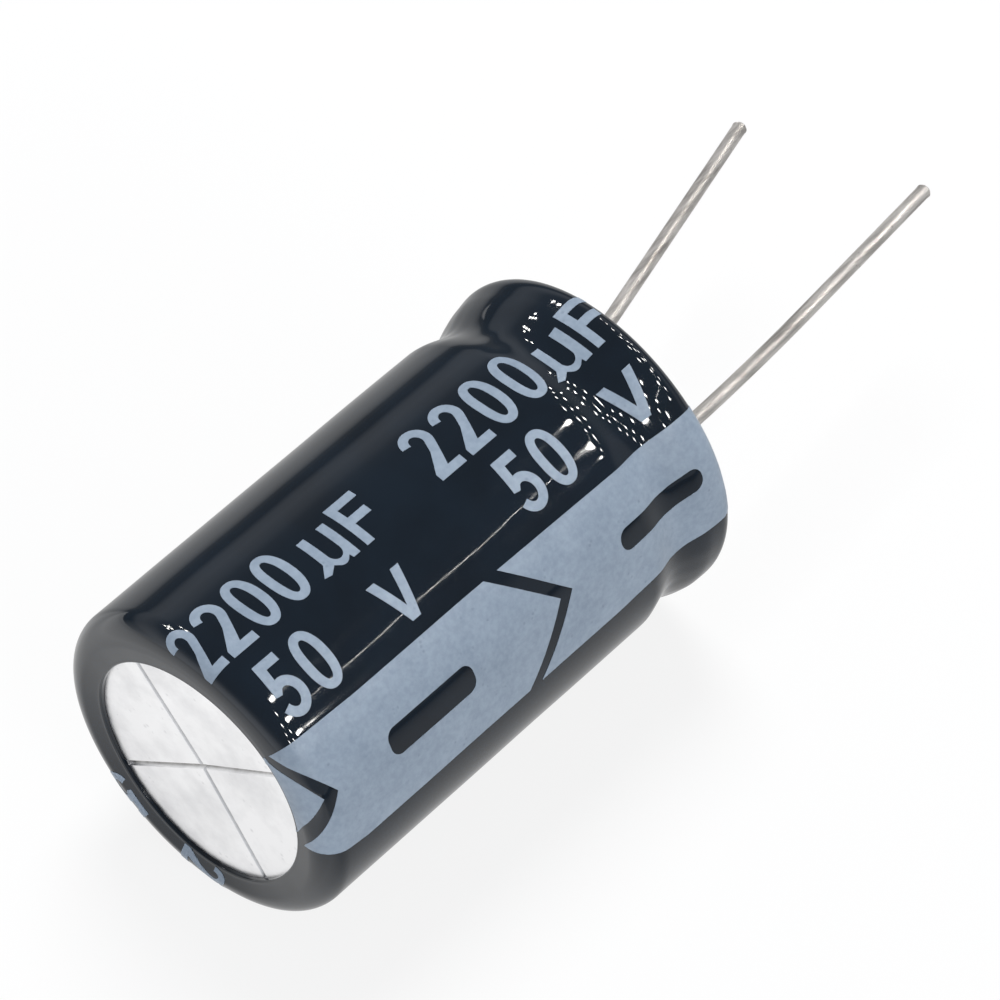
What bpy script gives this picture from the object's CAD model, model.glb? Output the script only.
"""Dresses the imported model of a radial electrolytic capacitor: sleeve, print, leads, finishes and stage."""

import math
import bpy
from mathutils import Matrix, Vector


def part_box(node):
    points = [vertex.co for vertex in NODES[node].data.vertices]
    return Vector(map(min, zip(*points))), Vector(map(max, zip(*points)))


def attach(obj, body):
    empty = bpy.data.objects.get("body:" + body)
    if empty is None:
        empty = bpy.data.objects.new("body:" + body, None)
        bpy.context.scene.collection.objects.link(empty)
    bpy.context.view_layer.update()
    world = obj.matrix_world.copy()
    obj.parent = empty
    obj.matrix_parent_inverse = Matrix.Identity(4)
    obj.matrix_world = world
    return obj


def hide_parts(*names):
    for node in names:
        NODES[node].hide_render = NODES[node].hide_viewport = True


bl_info = {
    "name": "Electrolytic capacitor",
    "version": (1, 0, 0),
    "blender": (4, 5, 0),
    "location": "3D View > Sidebar > Capacitor",
    "description": "Shrunk sleeve, print, tinned leads and finishes of a radial electrolytic capacitor",
    "category": "Object",
}

import bmesh
import bpy
import numpy as np
from bpy.props import FloatProperty, FloatVectorProperty, IntProperty, PointerProperty, StringProperty
from mathutils import Matrix, Vector

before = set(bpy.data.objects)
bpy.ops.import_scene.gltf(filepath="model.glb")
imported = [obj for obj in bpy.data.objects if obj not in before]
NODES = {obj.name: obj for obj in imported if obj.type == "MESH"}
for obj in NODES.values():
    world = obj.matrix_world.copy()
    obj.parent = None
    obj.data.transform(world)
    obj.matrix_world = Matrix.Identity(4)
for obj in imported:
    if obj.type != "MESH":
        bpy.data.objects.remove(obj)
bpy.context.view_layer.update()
MM = 0.001
CAN_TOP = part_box("can")[1].z
SEAT_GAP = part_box("sleeve")[0].z
SQUARE = ((-1, -1), (1, -1), (1, 1), (-1, 1))

# Stretches of the sleeve's outline, as start, end and softness in millimetres of way
WHOLE_FILM = (0.2, 31.9, 0.4)
PLEATED = (2.4, 6.2, 1.4)
SWAYING = (1.5, 28.5, 1.0)
WAVY_RIM = (31.2, 31.8, 0.4)
LIP_START, LIP_WIDTH = 31.05, 0.85
FOOT_WIDTH = 2.2

# Waves of the sleeve's edge in millimetres, and in degrees the side where the foot stands out and the sides
# to which the opening is wide once, twice and three times round
RIM_WAVES = 0.006
FOOT_SIDE = 300
OPENING_SIDES = (101, 59, 86)

# Directions along the table in degrees, with the capacitor's top at 90: the bright front, the wall with
# the band, across the rows of lights, and the lamp at the stripe's side
FRONT_TURN, BAND_TURN, ROWS_TURN, FILL_TURN = 78, -30, 40, 170

# The table: half its width, how much of its glow the camera sees, and how bright the film mirrors it,
# as distances in metres and levels
TABLE_HALF = 3.0
CAMERA_SHARE = 0.86
MIRROR_DIMMING = (0.08, 0.3, 0.57, 0.18)
MIRROR_STEPS = ((0.025, 0.031, 0.38), (0.0395, 0.05, 0.52))

# Wires, in metres: the step along their path, how far from the end the cut tilts and flares them and rounds
# their edge, and the tilt
WIRE_STEP = 0.00012
SHEAR_REACH, FLARE_REACH, ROUND_REACH = 0.0004, 0.00022, 0.0001
SHEAR_TILT = 0.00005


def length(name, description, default):
    return FloatProperty(name=name, description=description, default=default, unit="LENGTH", precision=5)


def turn(name, description, degrees):
    return FloatProperty(name=name, description=description, default=math.radians(degrees), unit="ROTATION")


def colour(name, description, srgb):
    """A colour given in screen values from 0 to 255, kept as linear light."""
    linear = [((v / 255 + 0.055) / 1.055) ** 2.4 if v > 10 else v / 255 / 12.92 for v in srgb]
    return FloatVectorProperty(name=name, description=description, default=linear, subtype="COLOR",
                               size=3, min=0, max=1)


class SleeveSizes(bpy.types.PropertyGroup):
    wall_radius: length("Wall radius", "Outer radius of the straight wall", 9.15 * MM)
    film: length("Film", "Thickness of the shrunk film", 0.15 * MM)
    foot_radius: length("Foot corner", "Outer radius of the corner at the foot", 1.05 * MM)
    foot_swell: length("Foot swell", "How far the foot stands out past the wall", 0.15 * MM)
    foot_opening: length("Foot opening", "Radius of the opening under the foot", 7.975 * MM)
    neck_height: length("Neck height", "Height of the neck's deepest line", 4.0 * MM)
    neck_half: length("Neck half height", "Half of the neck's height", 2.2 * MM)
    neck_depth: length("Neck depth", "How far the film sinks into the crimped neck", 0.46 * MM)
    corner_radius: length("Top corner", "Outer radius of the corner at the top", 1.4 * MM)
    opening: length("Top opening", "Mean radius of the opening over the vent", 6.74 * MM)
    opening_waves: length("Opening waves", "How far the shrunk edge strays from a circle", 0.155 * MM)
    opening_shift: length("Opening shift", "How much farther out the edge lies on one side", 0.457 * MM)
    foot_bulge: length("Foot bulge", "How far the foot's corner stands out on one side", 0.27 * MM)
    rim: length("Rim", "Thickness of the film's rounded edge", 0.23 * MM)
    rim_drop: length("Rim drop", "How far the film sinks towards its edge where it lies flat", 0.015 * MM)
    rim_sink: length("Rim sink", "How much farther it sinks on the opposite side", 0.205 * MM)
    rim_turn: FloatProperty(name="Rim turn", description="Angle in degrees of the flat side", default=233)
    vent_sink: length("Vent sink", "Depth of the vent disc below the can's shoulder", 0.3 * MM)
    vent_slope: length("Vent slope", "Width of the slope between shoulder and vent disc", 0.25 * MM)
    pleats: length("Pleats", "Depth of the small pleats round the neck", 0.012 * MM)
    sway: length("Sway", "Depth of the film's soft unevenness", 0.006 * MM)
    sides: IntProperty(name="Sides", description="Faces round the sleeve", default=460, min=64, max=512)


class PrintSizes(bpy.types.PropertyGroup):
    film: length("Ink", "Thickness of the ink", 0.025 * MM)
    repeat: length("Repeat", "Length of one repeat of the print", 17.05 * MM)
    stripe_low: turn("Stripe start", "Direction of the stripe's first edge", 175.5)
    stripe_high: turn("Stripe end", "Direction of the stripe's second edge", 220)
    chevron_tip: length("Chevron tip", "Height of the lower chevron's tip", 11.5 * MM)
    chevron_rise: length("Chevron rise", "Height of the lower chevron between tip and ends", 3.3 * MM)
    top_rise: length("Upper chevron rise", "Height of the upper chevron between tip and ends", 2.6 * MM)
    chevron_gap: length("Chevron gap", "Height of the line that a chevron leaves", 0.88 * MM)
    bar_height: length("Bar height", "Height of the lower bar's middle", 4.73 * MM)
    bar_length: length("Bar length", "Length of a bar", 6.05 * MM)
    bar_width: length("Bar width", "Width of a bar", 1.58 * MM)
    bar_corner: length("Bar corner", "Radius of a bar's corners", 0.62 * MM)
    neck_share: FloatProperty(name="Neck share", default=0.84, min=0.5, max=1,
                              description="Share of its width that a bar keeps over the neck")
    value_turn: turn("Value turn", "Direction of the foot of the first row's letters", 251.8)
    volt_turn: turn("Voltage turn", "Direction of the foot of the second row's letters", 224.9)
    value: StringProperty(name="Value", description="First row, in digits 0, 2 and 5", default="2200")
    volt: StringProperty(name="Voltage", description="Second row, in digits 0, 2 and 5", default="50")
    value_height: length("Value height", "Height of the first row's digits", 3.58 * MM)
    volt_height: length("Voltage height", "Height of the second row's digits", 3.35 * MM)
    digit_width: length("Digit width", "Width of a digit", 1.75 * MM)
    stroke: length("Stroke", "Width of a letter's strokes", 0.52 * MM)


class LeadSizes(bpy.types.PropertyGroup):
    pitch: length("Pitch", "Distance between the leads at the seal", 7.5 * MM)
    wire_radius: length("Wire radius", "Radius of the tinned wire", 0.4 * MM)
    weld_height: length("Weld height", "Height inside the seal where the wires start", 0.9 * MM)
    positive_bend: length("Positive bend", "Radius of the positive wire's bend below the seal", 19.5 * MM)
    positive_length: length("Positive length", "Straight length of the positive wire", 17 * MM)
    positive_lean: turn("Positive lean", "Lean of the positive wire", 14.2)
    positive_turn: turn("Positive turn", "Direction of the positive wire's lean", 348)
    negative_bend: length("Negative bend", "Radius of the negative wire's long, slight bend", 180 * MM)
    negative_length: length("Negative length", "Straight length of the negative wire", 10.5 * MM)
    negative_lean: turn("Negative lean", "Lean of the negative wire", 4.1)
    negative_turn: turn("Negative turn", "Direction of the negative wire's lean", 326)
    unevenness: length("Unevenness", "Depth of the dips in the tin", 0.012 * MM)
    burr: FloatProperty(name="Burr", description="Flare of the sheared ends", default=0.08, min=0, max=0.3)


class Finishes(bpy.types.PropertyGroup):
    sleeve: colour("Sleeve", "Navy plastic film", (4, 16, 27))
    sleeve_thin: colour("Thin sleeve", "Film where it is stretched", (8, 22, 34))
    ink: colour("Ink", "Pale ink of stripe and digits", (147, 161, 177))
    ink_thin: colour("Thin ink", "Ink where it printed thin", (126, 141, 158))
    ink_speck: colour("Ink specks", "Tiny gaps in the ink", (84, 97, 112))
    aluminium: colour("Aluminium", "Bare can and vent", (244, 244, 245))
    aluminium_dull: colour("Dull aluminium", "Stains and pits of the can", (186, 186, 189))
    groove: colour("Groove", "Dull metal in the vent's grooves", (128, 126, 122))
    tin: colour("Tin", "Tinned wire", (203, 199, 195))
    tin_dull: colour("Dull tin", "Grey streaks of the wire", (150, 146, 142))
    rubber: colour("Rubber", "Seal", (34, 34, 36))
    foil: colour("Foil", "Etched foil", (168, 167, 164))
    paper: colour("Paper", "Separator paper", (214, 203, 172))
    tape: colour("Tape", "Closing tape", (204, 182, 128))


class StageSizes(bpy.types.PropertyGroup):
    aim: FloatVectorProperty(name="Aim", description="Point that the camera looks at", size=3, unit="LENGTH",
                             default=(1.416 * MM, 1.142 * MM, 6.332 * MM), precision=6)
    distance: length("Distance", "Distance from camera to aim", 293.23 * MM)
    azimuth: turn("Azimuth", "Direction of the camera", -127.16)
    elevation: turn("Elevation", "Height angle of the camera", 28.36)
    roll: turn("Roll", "Turn of the camera about its view", 130.676)
    lens: FloatProperty(name="Lens", description="Focal length on a 36 mm sensor", default=205.09)
    table_turn: turn("Table turn", "Direction in which the body touches the table", 81.8)
    table_reach: length("Table reach", "Distance from the axis to the table", 9.32 * MM)
    key_power: FloatProperty(name="Key", description="Power of the main lamp in watts", default=3.0)
    fill_power: FloatProperty(name="Fill", description="Power of the stripe's lamp in watts", default=1.0)
    room_height: length("Room height", "Height of the lights above the table", 250 * MM)
    light_glow: FloatProperty(name="Light glow", description="Brightness of a light in the rows", default=70)


def sizes(kind):
    return getattr(bpy.context.scene, "capacitor_" + kind)


# Skin of the sleeve, in millimetres. A place on it is an angle round the axis and a way along its outline:
# the height on the wall, and the length along the film past the corners.

def bump(x):
    """A smooth hump of height 1 that is 0 outside -1 to 1."""
    return np.where(np.abs(x) < 1, (1 + np.cos(np.pi * np.clip(x, -1, 1))) / 2, 0)


def window(x, start, end, soft):
    """1 between start and end, falling smoothly to 0 over soft on either side."""
    rise = np.clip((x - start) / soft + 1, 0, 1)
    fall = np.clip((end - x) / soft + 1, 0, 1)
    return (3 * rise**2 - 2 * rise**3) * (3 * fall**2 - 2 * fall**3)


class Skin:
    """Outline of the sleeve as rows of way, radius and height, with the film's unevenness."""

    def __init__(self):
        s = sizes("sleeve")
        for name in SleeveSizes.__annotations__:
            if name not in ("rim_turn", "sides"):
                setattr(self, name, getattr(s, name) / MM)
        self.rim_turn = s.rim_turn
        self.can_top = CAN_TOP / MM
        self.seat = SEAT_GAP / MM
        self.foot_mid = (self.wall_radius + self.foot_swell - self.foot_radius, self.seat + self.foot_radius)
        self.corner_mid = (self.wall_radius - self.corner_radius,
                           self.can_top + self.film - self.corner_radius)
        self.vent = self.can_top - self.vent_sink
        self.rim_mid = (self.opening + self.rim / 2, self.can_top + self.film - self.rim_drop - self.rim / 2)
        self.rows = self.outline()

    def waist(self, z):
        """Radius that the foot's swell and the neck add to the wall."""
        low = self.foot_mid[1]
        share = np.clip((z - low) / (self.neck_height - low), 0, 1)
        swell = self.foot_swell * (1 + np.cos(np.pi * share)) / 2
        return swell - self.neck_depth * bump((z - self.neck_height) / self.neck_half)

    def arc(self, middle, radius, turns):
        """Rows of radius and height along an arc."""
        return np.stack([middle[0] + radius * np.cos(turns), middle[1] + radius * np.sin(turns)], 1)

    def outline(self):
        foot = np.linspace(-np.pi / 2, 0, 13)
        wall_top = self.neck_height + self.neck_half
        neck = np.linspace(self.foot_mid[1], wall_top, 41)[1:]
        wall = np.linspace(wall_top, self.corner_mid[1], 46)[1:]
        corner = np.linspace(0, np.pi / 2, 17)[1:]
        parts = [
            [(self.foot_mid[1] - self.foot_radius * np.pi / 2 - self.foot_mid[0] + self.foot_opening,
              self.foot_opening, self.seat)],
            np.column_stack([self.foot_mid[1] + self.foot_radius * foot,
                             self.arc(self.foot_mid, self.foot_radius, foot)]),
            np.stack([neck, self.wall_radius + self.waist(neck), neck], 1),
            np.stack([wall, np.full_like(wall, self.wall_radius), wall], 1),
            np.column_stack([self.corner_mid[1] + self.corner_radius * corner,
                             self.arc(self.corner_mid, self.corner_radius, corner)]),
        ]
        # past the corner the film runs in to its edge, rounds it and drops to the vent disc
        edge = self.arc(self.rim_mid, self.rim / 2, np.radians(np.linspace(82, 180, 15)))
        start = np.array([self.corner_mid[0], self.corner_mid[1] + self.corner_radius])
        slope = start + (edge[0] - start) * np.linspace(0, 1, 9)[1:-1, None]
        curve = np.vstack([slope, edge, [(self.opening, self.vent + 0.01)]])
        steps = np.linalg.norm(np.diff(np.vstack([start, curve]), axis=0), axis=1)
        ways = self.corner_mid[1] + self.corner_radius * np.pi / 2 + np.cumsum(steps)
        parts.append(np.column_stack([ways, curve]))
        return np.vstack(parts)

    def lining(self):
        """Inner side of the film, from the top edge back to the foot, as rows of radius and height."""
        inner = self.wall_radius - self.film
        corner = np.linspace(np.pi / 2, 0, 7)
        neck = np.linspace(self.neck_height + self.neck_half, self.foot_mid[1], 15)
        foot = np.linspace(0, -np.pi / 2, 6)
        shoulder = self.corner_mid[0] - self.vent_slope
        return np.vstack([
            [(self.rim_mid[0], self.vent), (shoulder, self.vent)],
            self.arc(self.corner_mid, self.corner_radius - self.film, corner),
            np.stack([inner + self.waist(neck), neck], 1),
            self.arc(self.foot_mid, self.foot_radius - self.film, foot)[1:],
            [(self.foot_opening, self.seat + self.film)],
        ])

    def unevenness(self, angle, way):
        """How far the film stands out from its true outline, in millimetres."""
        pleats = (0.5 * np.sin(17 * angle + 0.6 * way) + 0.3 * np.sin(29 * angle - 1.1 * way + 1)
                  + 0.2 * np.sin(43 * angle + 2))
        soft = (np.sin(3 * angle + 0.21 * way) + 0.7 * np.sin(5 * angle - 0.33 * way + 1.7)
                + 0.5 * np.sin(8 * angle + 0.6 * way + 0.4) + 0.5 * np.sin(0.9 * way + 2 * np.sin(2 * angle)))
        rim = 0.5 * np.sin(4 * angle + 1) + 0.3 * np.sin(9 * angle) + 0.2 * np.sin(21 * angle + 2)
        out = (self.pleats * pleats * window(way, *PLEATED) + self.sway * soft * window(way, *SWAYING)
               + RIM_WAVES * rim * window(way, *WAVY_RIM))
        # the foot's corner stands out on one side
        side = np.clip(np.cos(angle - math.radians(FOOT_SIDE)), 0, 1) ** 2
        bulge = self.foot_bulge * side * bump((way - WHOLE_FILM[0]) / FOOT_WIDTH)
        return out * window(way, *WHOLE_FILM) + bulge

    def edge_shift(self, angle):
        """How much wider than its mean the opening is, in millimetres."""
        one, two, three = (np.cos(k * (angle - math.radians(v))) for k, v in enumerate(OPENING_SIDES, 1))
        near = np.cos(angle - math.radians(self.rim_turn))
        shift = self.opening_shift * np.clip(near, 0, 1) * (1 + near) / 2
        return self.opening_waves * (0.65 * one + two + 0.5 * three) + shift

    def place(self, angle, way, lift=0.0):
        """Points in metres at angle and way, lift millimetres above the film."""
        angle, way = np.broadcast_arrays(np.asarray(angle, float), np.asarray(way, float))
        ways, radii, heights = self.rows.T
        step = 0.03
        r, z = np.interp(way, ways, radii), np.interp(way, ways, heights)
        dr = np.interp(way + step, ways, radii) - np.interp(way - step, ways, radii)
        dz = np.interp(way + step, ways, heights) - np.interp(way - step, ways, heights)
        size = np.hypot(dr, dz)
        out = lift + self.unevenness(angle, way)
        r, z = r + out * dz / size, z - out * dr / size
        # the film lies flat as far as its edge on one side and sinks towards it on the other
        share = np.clip((way - LIP_START) / LIP_WIDTH, 0, 1)
        sink = self.rim_sink * share * (1 - np.cos(angle - math.radians(self.rim_turn))) / 2
        r = r + self.edge_shift(angle) * share
        z = np.maximum(z - sink, np.where(share > 0, self.vent + 0.01, z))
        return np.stack([r * np.cos(angle), r * np.sin(angle), z], -1) * MM


# Meshes

def new_object(name, data):
    """An object that is linked to the scene."""
    made = bpy.data.objects.new(name, data)
    bpy.context.scene.collection.objects.link(made)
    return made


def mesh_object(name, points, faces, smooth=True):
    mesh = bpy.data.meshes.new(name)
    mesh.from_pydata([tuple(p) for p in points], [], [tuple(f) for f in faces])
    mesh.validate()
    mesh.polygons.foreach_set("use_smooth", [smooth] * len(mesh.polygons))
    mesh.update()
    return new_object(name, mesh)


def evaluated_mesh(made):
    """The object's mesh with its modifiers applied, or its curves as a mesh."""
    bpy.context.view_layer.update()
    return bpy.data.meshes.new_from_object(made.evaluated_get(bpy.context.evaluated_depsgraph_get()))


def set_sharp(piece, degrees):
    """Keeps edges sharper than the angle crisp."""
    bm = bmesh.new()
    bm.from_mesh(piece.data)
    for edge in bm.edges:
        edge.smooth = not (edge.is_manifold and edge.calc_face_angle(0) > math.radians(degrees))
    bm.to_mesh(piece.data)
    bm.free()


def ring_grid(rows, sides):
    """Faces of a grid that closes both round the axis and along its rows."""
    index = np.arange(rows * sides).reshape(rows, sides)
    right = np.roll(index, -1, axis=1)
    below, below_right = np.roll(index, -1, axis=0), np.roll(right, -1, axis=0)
    return np.stack([index, right, below_right, below], -1).reshape(-1, 4)


def finish_piece(piece, sharp, finish, slot, *nodes):
    """Gives a piece its crisp edges, finish, body, slot and the nodes that it replaces."""
    set_sharp(piece, sharp)
    piece.data.materials.clear()
    piece.data.materials.append(material_for(finish))
    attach(piece, "root")
    if nodes:
        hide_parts(*nodes)


def flat_sheet(loops):
    """A flat mesh filled between closed loops of points, holes left open."""
    curve = bpy.data.curves.new("outline", "CURVE")
    curve.dimensions, curve.fill_mode = "2D", "BOTH"
    for loop in loops:
        spline = curve.splines.new("POLY")
        spline.points.add(len(loop) - 1)
        spline.points.foreach_set("co", [v for x, y in loop for v in (x, y, 0, 1)])
        spline.use_cyclic_u = True
    holder = new_object("outline", curve)
    mesh = evaluated_mesh(holder)
    bpy.data.objects.remove(holder)
    bpy.data.curves.remove(curve)
    return mesh


def wrap_ink(skin, mesh, to_place, ink, cell=(0.45, 0.3)):
    """Cuts a flat mesh into small cells, lays it on the skin and gives it the ink's thickness.
    to_place turns flat x, y (mm) into angle and way."""
    bm = bmesh.new()
    bm.from_mesh(mesh)
    bpy.data.meshes.remove(mesh)
    bmesh.ops.remove_doubles(bm, verts=bm.verts, dist=1e-5)
    for axis, step in enumerate(cell):
        values = [v.co[axis] for v in bm.verts]
        normal = (1, 0, 0) if axis == 0 else (0, 1, 0)
        for k in range(math.ceil(min(values) / step), math.floor(max(values) / step) + 1):
            spot = [0, 0, 0]
            spot[axis] = k * step
            bmesh.ops.bisect_plane(bm, geom=bm.verts[:] + bm.edges[:] + bm.faces[:], dist=1e-6,
                                   plane_co=spot, plane_no=normal)
    bmesh.ops.triangulate(bm, faces=bm.faces[:])
    bm.verts.index_update()
    flat = np.array([v.co[:2] for v in bm.verts])
    faces = [[v.index for v in f.verts] for f in bm.faces]
    if sum(f.normal.z for f in bm.faces) < 0:
        faces = [f[::-1] for f in faces]
    used = dict.fromkeys((a, b) for f in faces for a, b in zip(f, f[1:] + f[:1]))
    border = [(a, b) for a, b in used if (b, a) not in used]
    bm.free()
    angle, way = to_place(flat[:, 0], flat[:, 1])
    top, under = skin.place(angle, way, ink), skin.place(angle, way, 0)
    count = len(flat)
    under_faces = [[i + count for i in f[::-1]] for f in faces]
    walls = [[b, a, a + count, b + count] for a, b in border]
    all_faces = faces + under_faces + walls
    if np.linalg.det(np.array(orientation(top, faces[0], angle, way))) < 0:
        all_faces = [f[::-1] for f in all_faces]
    return np.vstack([top, under]), all_faces


def orientation(points, face, angle, way):
    """Rows that form a positive frame where the face looks away from the axis or upward."""
    a, b, c = (points[i] for i in face[:3])
    out = np.array([math.cos(angle[face[0]]), math.sin(angle[face[0]]), 0.0])
    if way[face[0]] > 30:
        out = np.array([0, 0, 1.0])
    return b - a, c - a, out


def join_parts(parts):
    """One list of points and faces from several."""
    points, faces, start = [], [], 0
    for p, f in parts:
        points.append(p)
        faces += [[i + start for i in face] for face in f]
        start += len(p)
    return np.vstack(points), faces


# Node trees

def feed(tree, socket, value):
    """Sets an input to a value, or links another node's output to it."""
    if isinstance(value, bpy.types.NodeSocket):
        tree.links.new(value, socket)
    else:
        socket.default_value = value


def add(tree, kind, inputs=None, **settings):
    """A node with its settings and inputs."""
    node = tree.nodes.new(kind)
    for key, value in settings.items():
        setattr(node, key, value)
    for key, value in (inputs or {}).items():
        feed(tree, node.inputs[key], value)
    return node


def maths(tree, operation, first, second=0.0):
    return add(tree, "ShaderNodeMath", {0: first, 1: second}, operation=operation).outputs[0]


def stretch(tree, value, low, high, to_low=0.0, to_high=1.0):
    """The value moved from the range low to high to the range to_low to to_high."""
    return add(tree, "ShaderNodeMapRange", {"Value": value, "From Min": low, "From Max": high,
                                            "To Min": to_low, "To Max": to_high}).outputs["Result"]


def noise(tree, vector, scale, detail, roughness=0.5):
    return add(tree, "ShaderNodeTexNoise", {"Vector": vector, "Scale": scale, "Detail": detail,
                                            "Roughness": roughness}).outputs["Fac"]


def mix(tree, share, first, second):
    """A number between two numbers."""
    return add(tree, "ShaderNodeMix", {"Factor": share, "A": first, "B": second}).outputs["Result"]


def mix_shaders(tree, share, first, second):
    return add(tree, "ShaderNodeMixShader", {0: share, 1: first, 2: second}).outputs[0]


def dot(tree, vector, direction):
    node = add(tree, "ShaderNodeVectorMath", {0: vector, 1: direction}, operation="DOT_PRODUCT")
    return node.outputs["Value"]


def new_group(name, inputs, outputs, kind="ShaderNodeTree"):
    tree = bpy.data.node_groups.new(name, kind)
    for label, socket_type, default in inputs:
        socket = tree.interface.new_socket(label, in_out="INPUT", socket_type=socket_type)
        if default is not None:
            socket.default_value = default
    for label, socket_type in outputs:
        tree.interface.new_socket(label, in_out="OUTPUT", socket_type=socket_type)
    return tree, tree.nodes.new("NodeGroupInput").outputs, tree.nodes.new("NodeGroupOutput").inputs


def shader_group(name, output, **numbers):
    """A new group with a vector, numbers with their defaults as inputs, and one number as output."""
    inputs = [(label.replace("_", " "), "NodeSocketFloat", value) for label, value in numbers.items()]
    return new_group(name, [("Vector", "NodeSocketVector", None), *inputs], [(output, "NodeSocketFloat")])


def mottle_group():
    """Soft patches: a noise stretched between a low and a high value."""
    tree, source, target = shader_group("mottle", "Value", Scale=500.0, Detail=4.0, From=0.35, To=0.65,
                                        Low=0.0, High=1.0)
    patches = noise(tree, source["Vector"], source["Scale"], source["Detail"], 0.6)
    value = stretch(tree, patches, source["From"], source["To"], source["Low"], source["High"])
    tree.links.new(value, target["Value"])


def relief_group():
    """Height of a worn surface: soft waves with finer grain on them."""
    tree, source, target = shader_group("relief", "Height", Wave_Scale=300.0, Grain_Scale=3000.0,
                                        Grain_Share=0.3)
    waves = noise(tree, source["Vector"], source["Wave Scale"], 2.0)
    grain = noise(tree, source["Vector"], source["Grain Scale"], 3.0)
    tree.links.new(mix(tree, source["Grain Share"], waves, grain), target["Height"])


def pits_group():
    """Mask of small scattered pits."""
    tree, source, target = shader_group("pits", "Mask", Scale=1500.0, Size=0.2, Share=0.5)
    cells = add(tree, "ShaderNodeTexVoronoi", {"Vector": source["Vector"], "Scale": source["Scale"]})
    spot = stretch(tree, cells.outputs["Distance"], 0.0, source["Size"], 1.0, 0.0)
    chosen = maths(tree, "GREATER_THAN", noise(tree, source["Vector"], 700.0, 1.0), source["Share"])
    tree.links.new(maths(tree, "MULTIPLY", spot, chosen), target["Mask"])


def grooves_group():
    """The dull metal in the crossed grooves of the vent, 1 on their middle lines and 0 beside them."""
    tree, source, target = shader_group("grooves", "Value", Turn=math.radians(30), Reach=6.75 * MM,
                                        Half_Width=0.16 * MM, Floor=29 * MM)
    turned = add(tree, "ShaderNodeVectorRotate", {"Vector": source["Vector"], "Angle": source["Turn"]},
                 rotation_type="Z_AXIS", invert=True)
    axis = add(tree, "ShaderNodeSeparateXYZ", {"Vector": turned.outputs["Vector"]}).outputs
    aside = [maths(tree, "ABSOLUTE", axis[name]) for name in "XY"]
    line = stretch(tree, maths(tree, "MINIMUM", *aside), source["Half Width"], 0.0)
    inside = maths(tree, "LESS_THAN", maths(tree, "MAXIMUM", *aside), source["Reach"])
    above = maths(tree, "GREATER_THAN", axis["Z"], source["Floor"])
    value = maths(tree, "MULTIPLY", line, maths(tree, "MULTIPLY", inside, above))
    tree.links.new(value, target["Value"])


def use_group(tree, name, **inputs):
    """Output of a group of that name. A low line in an input's name stands for a space."""
    node = tree.nodes.new("ShaderNodeGroup")
    node.node_tree = bpy.data.node_groups[name]
    for key, value in inputs.items():
        feed(tree, node.inputs[key.replace("_", " ")], value)
    return node.outputs[0]


def new_material(name, **shader_values):
    """A material with a Principled shader, its plain values set on the shader, and Object coordinates."""
    material = bpy.data.materials.new(name)
    material.use_nodes = True
    tree = material.node_tree
    shader = tree.nodes["Principled BSDF"]
    for key, value in shader_values.items():
        shader.inputs[key].default_value = value
    return material, tree, shader, tree.nodes.new("ShaderNodeTexCoord").outputs["Object"]


def blend(tree, factor, first, second):
    """A colour between two colours, each given as a colour or another node's output."""
    node = add(tree, "ShaderNodeMix", data_type="RGBA")
    inputs = {socket.identifier: socket for socket in node.inputs}
    feed(tree, inputs["Factor_Float"], factor)
    for label, value in (("A_Color", first), ("B_Color", second)):
        feed(tree, inputs[label], value if isinstance(value, bpy.types.NodeSocket) else (*value, 1.0))
    return next(s for s in node.outputs if s.identifier == "Result_Color")


def dress(tree, shader, coords, tone, gloss, relief, depth):
    """Gives a shader its colour, uneven gloss and fine relief.
    gloss is scale, detail, lowest and highest roughness. relief is the scales of waves and grain and the
    share of grain. depth is strength and distance of the bump."""
    scale, detail, low, high = gloss
    waves, grain, share = relief
    height = use_group(tree, "relief", Vector=coords, Wave_Scale=waves, Grain_Scale=grain, Grain_Share=share)
    bumps = add(tree, "ShaderNodeBump", {"Strength": depth[0], "Distance": depth[1], "Height": height})
    feed(tree, shader.inputs["Base Color"], tone)
    feed(tree, shader.inputs["Roughness"],
         use_group(tree, "mottle", Vector=coords, Scale=scale, Detail=detail, Low=low, High=high))
    feed(tree, shader.inputs["Normal"], bumps.outputs["Normal"])


def stretched(tree, coords, scale):
    return add(tree, "ShaderNodeMapping", {"Vector": coords, "Scale": scale}).outputs["Vector"]


def sleeve_material(f):
    material, tree, shader, coords = new_material("navy film", IOR=1.52)
    patches = use_group(tree, "mottle", Vector=coords, Scale=260.0, Detail=3.0)
    dress(tree, shader, coords, blend(tree, patches, f.sleeve, f.sleeve_thin),
          (700.0, 5.0, 0.03, 0.06), (420.0, 2600.0, 0.12), (0.2, 0.00002))
    return material


def ink_material(f):
    material, tree, shader, coords = new_material("pale ink", IOR=1.5)
    grain = use_group(tree, "mottle", Vector=coords, Scale=3000.0, Detail=4.0, From=0.36, To=0.64)
    patches = use_group(tree, "mottle", Vector=coords, Scale=500.0, Detail=3.0, From=0.3, To=0.7)
    half = maths(tree, "MULTIPLY", maths(tree, "ADD", grain, patches), 0.5)
    specks = use_group(tree, "pits", Vector=coords, Scale=2200.0, Size=0.26, Share=0.6)
    printed = blend(tree, half, f.ink_thin, f.ink)
    dress(tree, shader, coords, blend(tree, maths(tree, "MULTIPLY", specks, 0.45), printed, f.ink_speck),
          (900.0, 4.0, 0.32, 0.45), (900.0, 6000.0, 0.5), (0.2, 0.00002))
    return material


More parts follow.
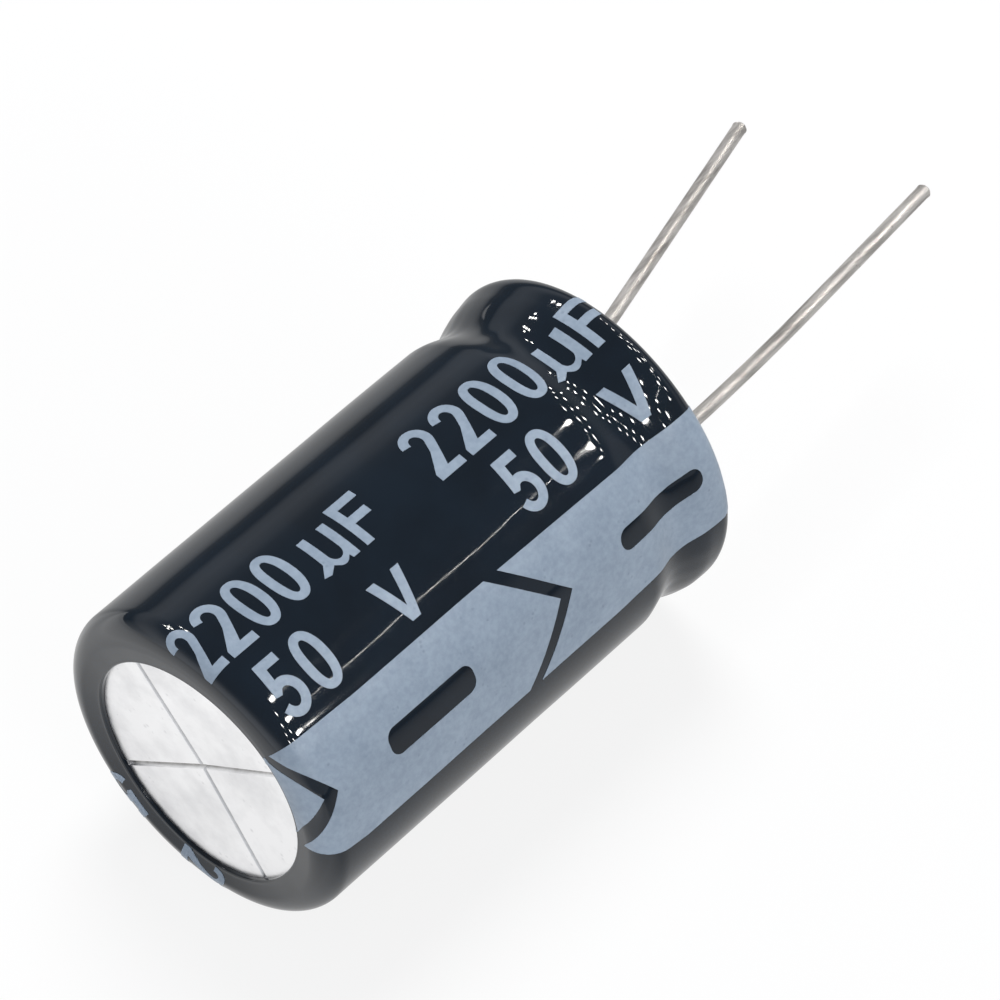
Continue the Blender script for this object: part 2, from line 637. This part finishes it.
def aluminium_material(f):
    material, tree, shader, coords = new_material("bare aluminium", Metallic=1.0)
    clouds = use_group(tree, "mottle", Vector=coords, Scale=260.0, Detail=5.0, From=0.45, To=0.75)
    specks = use_group(tree, "pits", Vector=coords, Scale=1900.0, Size=0.3, Share=0.56)
    stain = maths(tree, "MULTIPLY", maths(tree, "MAXIMUM", clouds, specks), 0.5)
    bare = blend(tree, stain, f.aluminium, f.aluminium_dull)
    dirt = use_group(tree, "mottle", Vector=coords, Scale=1500.0, Low=0.6, High=1.0)
    dull = maths(tree, "MULTIPLY", use_group(tree, "grooves", Vector=coords), dirt)
    dress(tree, shader, coords, blend(tree, dull, bare, f.groove),
          (800.0, 4.0, 0.28, 0.42), (350.0, 4000.0, 0.25), (0.35, 0.00006))
    return material


def tin_material(f):
    material, tree, shader, coords = new_material("tinned wire", Metallic=0.55)
    along = stretched(tree, coords, (1.0, 1.0, 0.12))
    streaks = use_group(tree, "mottle", Vector=along, Scale=2600.0, Detail=4.0, From=0.38, To=0.66)
    specks = use_group(tree, "pits", Vector=coords, Scale=2600.0, Size=0.3, Share=0.52)
    dress(tree, shader, along, blend(tree, maths(tree, "MAXIMUM", streaks, specks), f.tin, f.tin_dull),
          (2000.0, 3.0, 0.28, 0.45), (1500.0, 5200.0, 0.35), (0.5, 0.00005))
    return material


def plain_material(name, base, worn, scale, rough, metallic=0.0, pull=1.0, depth=0.00003):
    """A quiet finish for the inner pieces: two tones, uneven gloss and a fine grain.
    A pull below 1 draws the marks out along the part's axis."""
    material, tree, shader, coords = new_material(name, Metallic=metallic)
    along = stretched(tree, coords, (1.0, 1.0, pull))
    tone = use_group(tree, "mottle", Vector=along, Scale=scale, Detail=5.0)
    dress(tree, shader, along, blend(tree, tone, base, worn),
          (scale * 2, 3.0, rough, min(1.0, rough + 0.15)), (scale, scale * 6, 0.5), (0.4, depth))
    return material


def scaled(rgb, share):
    return [v * share for v in rgb]


def material_for(name):
    """The finish of that name, made once."""
    if name in bpy.data.materials:
        return bpy.data.materials[name]
    for group, maker in (("mottle", mottle_group), ("relief", relief_group), ("pits", pits_group),
                         ("grooves", grooves_group)):
        if group not in bpy.data.node_groups:
            maker()
    f = sizes("finish")
    shown = {"navy film": sleeve_material, "pale ink": ink_material, "bare aluminium": aluminium_material,
             "tinned wire": tin_material}
    if name in shown:
        return shown[name](f)
    hidden = {
        "seal rubber": (f.rubber, scaled(f.rubber, 1.7), 900, 0.6),
        "etched foil": (f.foil, scaled(f.foil, 0.8), 1200, 0.5, 1.0, 0.2, 0.00001),
        "separator paper": (f.paper, scaled(f.paper, 0.88), 1500, 0.85),
        "amber tape": (f.tape, scaled(f.tape, 0.85), 700, 0.3, 0.0, 1.0, 0.00001),
        "tab aluminium": (f.aluminium, f.aluminium_dull, 900, 0.35, 1.0, 0.15),
    }
    return plain_material(name, *hidden[name])


# Operators

class CAPACITOR_OT_sleeve(bpy.types.Operator):
    """Make the shrunk sleeve: wall, neck, foot and the rolled edge round the vent"""
    bl_idname = "capacitor.sleeve"
    bl_label = "Sleeve"

    def execute(self, context):
        skin = Skin()
        sides = sizes("sleeve").sides
        angles = np.linspace(0, 2 * np.pi, sides, endpoint=False)
        outer = [skin.place(angles, way) for way in skin.rows[:, 0]]
        inner = []
        for row, (r, z) in enumerate(skin.lining()):
            radius = r + (0 if row else skin.edge_shift(angles))
            height = np.full_like(angles, z)
            inner.append(np.stack([radius * np.cos(angles), radius * np.sin(angles), height], -1) * MM)
        rows = np.stack(outer + inner)
        piece = mesh_object("shrunk_sleeve", rows.reshape(-1, 3), ring_grid(len(rows), sides))
        finish_piece(piece, 50, "navy film", "sleeve_plastic", "sleeve")
        return {"FINISHED"}


class CAPACITOR_OT_stripe(bpy.types.Operator):
    """Print the polarity stripe, with its chevrons and minus bars left open"""
    bl_idname = "capacitor.stripe"
    bl_label = "Polarity stripe"

    def execute(self, context):
        skin, s = Skin(), sizes("print")
        edge = (s.stripe_high - s.stripe_low) / 2 * skin.wall_radius
        tip, rise, top_rise, gap, repeat = (
            v / MM for v in (s.chevron_tip, s.chevron_rise, s.top_rise, s.chevron_gap, s.repeat))
        low, high = skin.rows[1, 0], skin.rows[-1, 0] - 0.12
        # the chevrons' tips and the bars lie a little off the stripe's middle
        off = 0.1
        lower = [(-edge, tip + rise - 0.05), (off, tip), (edge, tip + rise)]
        lower_in = [(-edge, tip + rise + gap), (off, tip + gap), (edge, tip + rise + gap * 1.1)]
        tip += repeat - 0.08
        upper = [(-edge, tip + top_rise * 1.12), (off, tip), (edge * 0.72, tip + top_rise * 0.66),
                 (edge, tip + top_rise * 0.86)]
        upper_in = [(-edge, high + 0.5), (off, tip + gap), (edge * 0.5, tip + gap + top_rise * 0.36),
                    (edge, tip + gap * 0.72 + top_rise * 0.86)]
        fields = [[(-edge, low), (edge, low)] + lower[::-1], lower_in + upper[::-1]]
        meshes = []
        for k, field in enumerate(fields):
            middle, half = s.bar_height / MM + k * repeat, s.bar_length / 2 / MM
            width = s.bar_width / 2 / MM * (1 if k else s.neck_share)
            r = min(s.bar_corner / MM, width)
            bar = [(off + (width - r) * math.copysign(1, math.cos(a)) + r * math.cos(a),
                    middle + (half - r) * math.copysign(1, math.sin(a)) + r * math.sin(a))
                   for a in np.radians(np.arange(5, 365, 10))]
            meshes.append(flat_sheet([field, bar]))
        # the last bit of stripe, whose lower side meets the sleeve's edge before the stripe's corner
        share = (high - upper_in[1][1]) / (upper_in[0][1] - upper_in[1][1])
        meshes.append(flat_sheet([[(off + (-edge - off) * share, high)] + upper_in[1:] + [(edge, high)]]))

        def to_place(x, way):
            # the shrinking film pulls the stripe's edges about at the neck and over the corner
            start = s.stripe_low + np.radians(
                np.interp(way, (0, 2, 4, 6, 9, 27.5, 31), (2, 2, -0.8, 1, 0, 0, 3)))
            end = s.stripe_high + np.radians(np.interp(way, (0, 4, 17, 25, 30, 32), (-1.3, -1.3, 0, 0, 1, 1)))
            return start + (x + edge) / (2 * edge) * (end - start), way
        inked = [wrap_ink(skin, mesh, to_place, s.film / MM) for mesh in meshes]
        piece = mesh_object("printed_stripe", *join_parts(inked))
        finish_piece(piece, 40, "pale ink", "stripe_ink", "polarity_stripe")
        return {"FINISHED"}


class CAPACITOR_OT_rating(bpy.types.Operator):
    """Print the generic rating in two rows, twice along the sleeve, and again behind"""
    bl_idname = "capacitor.rating"
    bl_label = "Rating"

    def band(self, middle, width):
        """Both sides of a stroke of that width along a middle line, with mitred corners."""
        line = np.array(middle, float)
        steps = np.diff(line, axis=0)
        steps /= np.linalg.norm(steps, axis=1)[:, None]
        left = np.stack([-steps[:, 1], steps[:, 0]], 1)
        joint = np.vstack([left[:1], left[:-1] + left[1:], left[-1:]])
        joint /= np.linalg.norm(joint, axis=1)[:, None]
        reach = np.concatenate([[1], 1 / np.clip((joint[1:-1] * left[1:]).sum(1), 0.55, 1), [1]])
        off = joint * (reach * width / 2)[:, None]
        return [tuple(p) for p in line + off], [tuple(p) for p in line - off]

    def letter(self, name, w, h, t):
        """Outlines of a letter w wide and h high with strokes of t, standing on y = 0 from x = 0."""
        def oval(x, y, rx, ry, start, end, count=18):
            turns = np.radians(np.linspace(start, end, count))
            return [(x + rx * math.cos(a), y + ry * math.sin(a)) for a in turns]

        def ring(rx, ry):
            turns = [(math.cos(a), math.sin(a)) for a in np.radians(np.arange(0, 360, 9))]
            return [(w / 2 + rx * math.copysign(abs(x) ** 0.86, x),
                     h / 2 + ry * math.copysign(abs(y) ** 0.86, y)) for x, y in turns]
        if name == "0":
            return [ring(w / 2, h / 2), ring(w / 2 - t, h / 2 - t * 0.92)]
        if name == "2":
            bowl = oval(w / 2, h * 0.72, (w - t) / 2, h * 0.28 - t / 2, 172, -28)
            tail = [(w * 0.62, h * 0.42), (t * 0.95, t * 1.25), (t * 0.72, t * 0.9)]
            left, right = self.band(bowl + tail, t)
            return [left[:-2] + [(w * 0.52, t), (w, t), (w, 0), (0, 0), (0, t * 0.9)] + right[::-1][2:]]
        if name == "5":
            bowl = oval(w * 0.47, h * 0.33, w * 0.53 - t / 2, h * 0.33 - t / 2, 112, -158, 24)
            left, right = self.band(bowl, t)
            outer, inner = (left, right) if left[0][1] > right[0][1] else (right, left)
            back = [(w * 0.93, h), (t * 0.42, h), (t * 0.16, h * 0.44), (t * 0.9, h * 0.42)]
            front = [(t * 1.3, h * 0.66), (t * 1.42, h - t), (w * 0.93, h - t)]
            return [back + inner + outer[::-1] + front]
        if name == "F":
            low, high = h * 0.43, h * 0.43 + t
            return [[(0, 0), (t, 0), (t, low), (w * 0.88, low), (w * 0.88, high), (t, high),
                     (t, h - t), (w, h - t), (w, h), (0, h)]]
        if name == "V":
            return [[(0, h), (w / 2 - t * 0.55, 0), (w / 2 + t * 0.55, 0), (w, h), (w - t * 1.1, h),
                     (w / 2, t * 1.5), (t * 1.1, h)]]
        # the micro sign: the hollow between its legs, the underside of its bowl and the tail on the left
        hollow = oval(w / 2, h * 0.36, w / 2 - t, h * 0.36 - t * 0.8, 180, 360, 12)
        under = oval(w * 0.48, h * 0.3, w * 0.3, h * 0.3, -62, -118, 7)
        return [[(0, h), (-0.03, h * 0.28), (-0.55, t * 0.2), (-0.1, 0), (t * 0.72, h * 0.13)] + under[::-1]
                + [(w - t, h * 0.1), (w - t * 0.9, 0), (w, 0), (w, h), (w - t, h)] + hollow[::-1] + [(t, h)]]

    def execute(self, context):
        skin, s = Skin(), sizes("print")
        ink, t, wide = s.film / MM, s.stroke / MM, s.digit_width / MM
        parts = []

        def put(name, turned, middle, width, height):
            def to_place(x, y):
                # the text runs down towards the leads, its tops towards larger angles
                way = middle + width / 2 - x
                return turned + y / skin.wall_radius, way - 0.2 * np.clip(way - 29, 0, None)
            mesh = flat_sheet(self.letter(name, width, height, t))
            parts.append(wrap_ink(skin, mesh, to_place, ink, cell=(0.3, 0.4)))

        # each row near the neck and near the top: way of its first digit, its pitch and its letters' ways
        value_rows = ((12.8, 2.2, 3.45, 1.15), (29.78, 2.09, 20.62, 18.2))
        volt_rows = ((10.6, 2.2, 2.75), (27.74, 2.2, 19.9))
        value_high, volt_high = s.value_height / MM, s.volt_height / MM
        # turn and shift of both rows on the side shown, then on the other side
        for value_turn, value_shift, volt_turn, volt_shift in (
                (s.value_turn, 0.0, s.volt_turn, 0.0),
                (s.value_turn + math.pi, 2.0, s.volt_turn + math.pi - 0.225, 3.5)):
            for first, pitch, micro, farad in value_rows:
                for k, digit in enumerate(s.value):
                    put(digit, value_turn, first + value_shift - k * pitch, wide, value_high)
                put("µ", value_turn, micro + value_shift, 1.9, value_high * 0.71)
                put("F", value_turn, farad + value_shift, 1.9, value_high * 0.85)
            for first, pitch, volt in volt_rows:
                for k, digit in enumerate(s.volt):
                    put(digit, volt_turn, first + volt_shift - k * pitch, wide, volt_high)
                put("V", volt_turn, volt + volt_shift, 2.3, volt_high * 0.79)
        piece = mesh_object("printed_rating", *join_parts(parts))
        finish_piece(piece, 40, "pale ink", "stripe_ink")
        return {"FINISHED"}


def wire_tree():
    """Sweeps a wire along a path, with dips in its tin and the flare that is stored on the path."""
    tree, source, target = new_group(
        "tinned lead",
        [("Path", "NodeSocketGeometry", None), ("Radius", "NodeSocketFloat", 0.0004),
         ("Sides", "NodeSocketInt", 40), ("Unevenness", "NodeSocketFloat", 0.00001),
         ("Seed", "NodeSocketFloat", 0.0), ("Finish", "NodeSocketMaterial", None)],
        [("Wire", "NodeSocketGeometry")], "GeometryNodeTree")

    def step(kind, output, inputs=None, **settings):
        return add(tree, kind, inputs, **settings).outputs[output]
    path = step("GeometryNodeMeshToCurve", "Curve", {"Mesh": source["Path"]})
    ring = step("GeometryNodeCurvePrimitiveCircle", "Curve",
                {"Resolution": source["Sides"], "Radius": source["Radius"]})
    flare = step("GeometryNodeInputNamedAttribute", "Attribute", {"Name": "flare"}, data_type="FLOAT")
    wire = step("GeometryNodeCurveToMesh", "Mesh",
                {"Curve": path, "Profile Curve": ring, "Scale": flare, "Fill Caps": True})
    squeezed = step("ShaderNodeVectorMath", "Vector",
                    {0: step("GeometryNodeInputPosition", "Position"), 1: (2600, 2600, 700)},
                    operation="MULTIPLY")
    dips = step("ShaderNodeTexNoise", "Fac",
                {"Vector": squeezed, "W": source["Seed"], "Scale": 1.0, "Detail": 2.0}, noise_dimensions="4D")
    depth = maths(tree, "MULTIPLY", maths(tree, "SUBTRACT", dips, 0.5), source["Unevenness"])
    move = step("ShaderNodeVectorMath", "Vector",
                {0: step("GeometryNodeInputNormal", "Normal"), "Scale": depth}, operation="SCALE")
    wire = step("GeometryNodeSetPosition", "Geometry", {"Geometry": wire, "Offset": move})
    wire = step("GeometryNodeRealizeInstances", "Geometry", {"Geometry": wire})
    wire = step("GeometryNodeSetMaterial", "Geometry", {"Geometry": wire, "Material": source["Finish"]})
    tree.links.new(wire, target["Wire"])
    return tree


class CAPACITOR_OT_leads(bpy.types.Operator):
    """Draw the two tinned wires along their bent paths and shear their ends"""
    bl_idname = "capacitor.leads"
    bl_label = "Leads"

    def path(self, side, lean, turned, bend, straight):
        """Points of a wire's middle line in metres, from the weld to the cut end."""
        s = sizes("lead")
        down = [(0, z) for z in np.linspace(s.weld_height, 0, 8)]
        arc = [(bend * (1 - math.cos(a)), -bend * math.sin(a))
               for a in np.linspace(0, lean, max(4, int(bend * lean / WIRE_STEP)))[1:]]
        end = arc[-1]
        run = [(end[0] + math.sin(lean) * d, end[1] - math.cos(lean) * d)
               for d in np.linspace(0, straight, int(straight / WIRE_STEP))[1:]]
        return [Vector((side * s.pitch / 2 + x * math.cos(turned), x * math.sin(turned), z))
                for x, z in down + arc + run]

    def execute(self, context):
        s = sizes("lead")
        tree = wire_tree()
        for name, side, seed in (("positive", 1, 1.0), ("negative", -1, 7.0)):
            measures = [getattr(s, f"{name}_{k}") for k in ("lean", "turn", "bend", "length")]
            points = self.path(side, *measures)
            mesh = bpy.data.meshes.new(f"{name}_wire")
            mesh.from_pydata(points, [(i, i + 1) for i in range(len(points) - 1)], [])
            flare = mesh.attributes.new("flare", "FLOAT", "POINT")
            along = np.array([(points[-1] - p).length for p in points])
            flared = s.burr * np.exp(-(along / FLARE_REACH) ** 2) * (along > ROUND_REACH)
            flare.data.foreach_set("value", 1 + flared - 0.16 * np.clip(1 - along / ROUND_REACH, 0, 1))
            piece = new_object(f"{name}_wire", mesh)
            modifier = piece.modifiers.new("sweep", "NODES")
            modifier.node_group = tree
            wanted = {"Radius": s.wire_radius, "Sides": 40, "Unevenness": s.unevenness, "Seed": seed,
                      "Finish": material_for("tinned wire")}
            for socket in tree.interface.items_tree:
                if socket.name in wanted:
                    modifier[socket.identifier] = wanted[socket.name]
            swept = evaluated_mesh(piece)
            piece.modifiers.clear()
            piece.data = swept
            self.shear(piece, points, s.wire_radius)
            swept.polygons.foreach_set("use_smooth", [True] * len(swept.polygons))
            finish_piece(piece, 35, "tinned wire", "tinned_wire", f"{name}_lead")
        return {"FINISHED"}

    def shear(self, piece, points, radius):
        """Tilts the cut end a little, as cutters leave it."""
        end, back = points[-1], points[-8]
        along = (end - back).normalized()
        side = along.orthogonal().normalized()
        for v in piece.data.vertices:
            depth = (v.co - end).dot(along)
            if depth > -SHEAR_REACH:
                across = (v.co - end).dot(side) / radius
                v.co += along * SHEAR_TILT * (across - 1) * (1 + depth / SHEAR_REACH)


class CAPACITOR_OT_metal_and_core(bpy.types.Operator):
    """Give the can, the seal, the roll and its tabs their finishes"""
    bl_idname = "capacitor.metal_and_core"
    bl_label = "Can, seal and roll"

    def execute(self, context):
        finishes = {
            "can": "bare aluminium", "end_seal": "seal rubber",
            "anode_foil": "etched foil", "cathode_foil": "etched foil",
            "separator_inner": "separator paper", "separator_outer": "separator paper",
            "closing_tape": "amber tape", "anode_tab": "tab aluminium", "cathode_tab": "tab aluminium",
            "sleeve": "navy film", "polarity_stripe": "pale ink",
            "positive_lead": "tinned wire", "negative_lead": "tinned wire",
        }
        missing = set(NODES) - set(finishes)
        if missing:
            raise RuntimeError(f"no finish for {sorted(missing)}")
        for node, finish in finishes.items():
            materials = NODES[node].data.materials
            if not materials:
                materials.append(None)
            for slot in range(len(materials)):
                materials[slot] = material_for(finish)
        return {"FINISHED"}


class CAPACITOR_OT_stage(bpy.types.Operator):
    """Set the white table, the lamps, the world and the camera"""
    bl_idname = "capacitor.stage"
    bl_label = "Stage"

    def up(self, s):
        """Direction straight away from the table."""
        return Vector((-math.cos(s.table_turn), -math.sin(s.table_turn), 0))

    def toward(self, s, degrees):
        """Direction along the table, which points to the capacitor's top at 90 degrees."""
        top = Vector((0, 0, 1))
        return top.cross(self.up(s)) * math.cos(math.radians(degrees)) + top * math.sin(math.radians(degrees))

    def blank(self, owner, output):
        """The emptied nodes of a material or world, and the input that takes its surface."""
        owner.use_nodes = True
        tree = owner.node_tree
        tree.nodes.clear()
        return tree, tree.nodes.new(output).inputs["Surface"]

    def mirrored(self, tree, s):
        """How bright the film mirrors the table: dimmer with distance, brighter ahead of the vent."""
        place = tree.nodes.new("ShaderNodeNewGeometry").outputs["Position"]
        ahead = dot(tree, place, self.toward(s, FRONT_TURN))
        far = add(tree, "ShaderNodeVectorMath", {0: place}, operation="LENGTH").outputs["Value"]
        level = stretch(tree, far, *MIRROR_DIMMING)
        for start, end, gain in MIRROR_STEPS:
            level = maths(tree, "ADD", level, stretch(tree, ahead, start, end, 0.0, gain))
        return level

    def table(self, s):
        out = -self.up(s)
        along = Vector((-out.y, out.x, 0))
        corners = [out * s.table_reach + along * a * TABLE_HALF + Vector((0, 0, b * TABLE_HALF))
                   for a, b in SQUARE]
        table = mesh_object("table", corners, [(0, 1, 2, 3)], smooth=False)
        if table.data.polygons[0].normal.dot(out) > 0:
            table.data.flip_normals()
        material = bpy.data.materials.new("white table")
        tree, surface = self.blank(material, "ShaderNodeOutputMaterial")
        ray = tree.nodes.new("ShaderNodeLightPath").outputs
        seen = maths(tree, "MAXIMUM", ray["Is Camera Ray"], ray["Is Transmission Ray"])
        share = maths(tree, "MAXIMUM", maths(tree, "MULTIPLY", seen, CAMERA_SHARE), ray["Is Glossy Ray"])
        level = mix(tree, ray["Is Glossy Ray"], 1.0, self.mirrored(tree, s))
        paper = add(tree, "ShaderNodeBsdfDiffuse", {"Color": (0.8, 0.8, 0.8, 1)})
        glow = add(tree, "ShaderNodeEmission", {"Color": (1, 1, 1, 1), "Strength": level})
        white = mix_shaders(tree, share, paper.outputs[0], glow.outputs[0])
        behind = tree.nodes.new("ShaderNodeNewGeometry").outputs["Backfacing"]
        clear = tree.nodes.new("ShaderNodeBsdfTransparent").outputs[0]
        tree.links.new(mix_shaders(tree, behind, white, clear), surface)
        table.data.materials.append(material)

    def ramp(self, tree, value, stops):
        """A level that follows stops of value and level."""
        node = add(tree, "ShaderNodeValToRGB", {"Fac": value})
        for index, (spot, level) in enumerate(stops):
            stop = node.color_ramp.elements[index] if index < 2 else node.color_ramp.elements.new(spot)
            stop.position, stop.color = spot, (level, level, level, 1)
        return node.outputs["Color"]

    def lights(self, s):
        """Small lights in rows above the sides of the table, which only glossy surfaces show."""
        up, across, along = self.up(s), self.toward(s, ROWS_TURN), self.toward(s, ROWS_TURN + 90)
        points = []

        def light(side, step, long, wide):
            middle = (up + across * side + along * step) * s.room_height
            level = along.cross(middle.normalized()).normalized()
            points.extend(middle + along * a * long + level * b * wide for a, b in SQUARE)

        # each row's steps miss the strip that the straight wall would draw out into streaks
        for side, first in ((-1.31, -1.754), (-0.95, -1.589), (-0.59, -1.764)):
            for step in np.arange(first, 1.4, 0.3):
                light(side, step, 0.0065, 0.0065)
        for side, step in ((0.95, -0.72), (1.05, -0.8), (0.98, -0.9), (1.12, -0.68), (1.15, -0.88),
                           (0.5, -0.9), (0.6, -1.05)):
            light(side, step, 0.006, 0.006)
        # the thin, broken line of the lamp's frame
        for step in np.arange(-0.3, 0.2, 0.0055):
            light(-0.94 + 0.004 * math.sin(170 * step), step, 0.0004, 0.0004 + 0.0002 * math.sin(400 * step))
        faces = [range(k, k + 4) for k in range(0, len(points), 4)]
        rows = mesh_object("light_rows", points, faces, smooth=False)
        material = bpy.data.materials.new("light")
        tree, surface = self.blank(material, "ShaderNodeOutputMaterial")
        glow = add(tree, "ShaderNodeEmission", {"Color": (1.0, 0.98, 0.94, 1), "Strength": s.light_glow})
        tree.links.new(glow.outputs[0], surface)
        rows.data.materials.append(material)
        rows.visible_camera = rows.visible_diffuse = rows.visible_shadow = rows.visible_transmission = False

    def world(self, s):
        world = bpy.data.worlds.new("room")
        bpy.context.scene.world = world
        tree, surface = self.blank(world, "ShaderNodeOutputWorld")
        direction = tree.nodes.new("ShaderNodeTexCoord").outputs["Generated"]
        rise = dot(tree, direction, self.up(s))
        # a dim ceiling over grey walls, a gap of shade below the band on one side, and a bright front
        walls = self.ramp(tree, rise, ((0.0, 0.45), (0.28, 0.45), (0.4, 0.27), (1.0, 0.25)))
        banded = self.ramp(tree, rise, ((0.0, 0.15), (0.12, 0.15), (0.2, 0.42), (0.3, 0.52),
                                        (0.42, 0.45), (0.5, 0.3), (0.6, 0.25), (1.0, 0.25)))
        beside = stretch(tree, dot(tree, direction, self.toward(s, BAND_TURN)), 0.0, 0.5)
        bright = self.ramp(tree, rise, ((0.0, 1.0), (0.17, 0.8), (0.34, 0.4), (0.5, 0.1), (0.6, 0.0)))
        ahead = stretch(tree, dot(tree, direction, self.toward(s, FRONT_TURN)), 0.35, 0.9)
        level = maths(tree, "ADD", mix(tree, beside, walls, banded), maths(tree, "MULTIPLY", ahead, bright))
        room = add(tree, "ShaderNodeBackground", {"Color": (0.97, 1.0, 1.05, 1), "Strength": level})
        white = add(tree, "ShaderNodeBackground", {"Color": (1, 1, 1, 1), "Strength": 1.0})
        seen = tree.nodes.new("ShaderNodeLightPath").outputs["Is Camera Ray"]
        tree.links.new(mix_shaders(tree, seen, room.outputs[0], white.outputs[0]), surface)

    def lamp(self, name, offset, aim, size, power):
        light = bpy.data.lights.new(name, "AREA")
        light.shape, light.size, light.energy = "DISK", size, power
        lamp = new_object(name, light)
        lamp.location = aim + offset
        lamp.rotation_mode = "QUATERNION"
        lamp.rotation_quaternion = (-offset).to_track_quat("-Z", "Y")
        lamp.visible_glossy = lamp.visible_camera = False

    def camera(self, s):
        data = bpy.data.cameras.new("photo_camera")
        data.lens, data.sensor_width, data.sensor_fit = s.lens, 36.0, "AUTO"
        data.clip_start, data.clip_end = 0.01, 20
        camera = new_object("photo_camera", data)
        back = Vector((math.cos(s.azimuth) * math.cos(s.elevation),
                       math.sin(s.azimuth) * math.cos(s.elevation), math.sin(s.elevation)))
        level = (-back).cross(Vector((0, 0, 1))).normalized()
        upright = level.cross(-back)
        up = upright * math.cos(s.roll) + level * math.sin(s.roll)
        view = Matrix(((-back).cross(up), up, back)).transposed()
        camera.matrix_world = Matrix.Translation(Vector(s.aim) + back * s.distance) @ view.to_4x4()
        bpy.context.scene.camera = camera

    def execute(self, context):
        s = sizes("stage")
        self.camera(s)
        self.table(s)
        self.world(s)
        self.lights(s)
        aim, up = Vector(s.aim), self.up(s)
        self.lamp("key", (up + Vector((0.35, 0, -0.35))).normalized() * 0.55, aim, 0.28, s.key_power)
        self.lamp("fill", (self.toward(s, FILL_TURN) + up * 0.3).normalized() * 0.5, aim, 0.2, s.fill_power)
        context.scene.view_settings.view_transform = "Standard"
        return {"FINISHED"}


class CAPACITOR_PT_panel(bpy.types.Panel):
    """Buttons for the pieces of the capacitor"""
    bl_idname = "CAPACITOR_PT_panel"
    bl_label = "Capacitor"
    bl_space_type = "VIEW_3D"
    bl_region_type = "UI"
    bl_category = "Capacitor"

    def draw(self, context):
        for operator in OPERATORS:
            self.layout.operator(operator.bl_idname)


GROUPS = {"sleeve": SleeveSizes, "print": PrintSizes, "lead": LeadSizes, "finish": Finishes,
          "stage": StageSizes}
OPERATORS = (CAPACITOR_OT_stage, CAPACITOR_OT_metal_and_core, CAPACITOR_OT_sleeve, CAPACITOR_OT_stripe,
             CAPACITOR_OT_rating, CAPACITOR_OT_leads)


def register():
    for cls in (*GROUPS.values(), *OPERATORS, CAPACITOR_PT_panel):
        bpy.utils.register_class(cls)
    for name, group in GROUPS.items():
        setattr(bpy.types.Scene, "capacitor_" + name, PointerProperty(type=group))


def unregister():
    for name in GROUPS:
        delattr(bpy.types.Scene, "capacitor_" + name)
    for cls in (CAPACITOR_PT_panel, *reversed(OPERATORS), *reversed(list(GROUPS.values()))):
        bpy.utils.unregister_class(cls)


def main():
    register()
    bpy.ops.capacitor.stage()
    bpy.ops.capacitor.metal_and_core()
    bpy.ops.capacitor.sleeve()
    bpy.ops.capacitor.stripe()
    bpy.ops.capacitor.rating()
    bpy.ops.capacitor.leads()


if __name__ == "__main__":
    main()
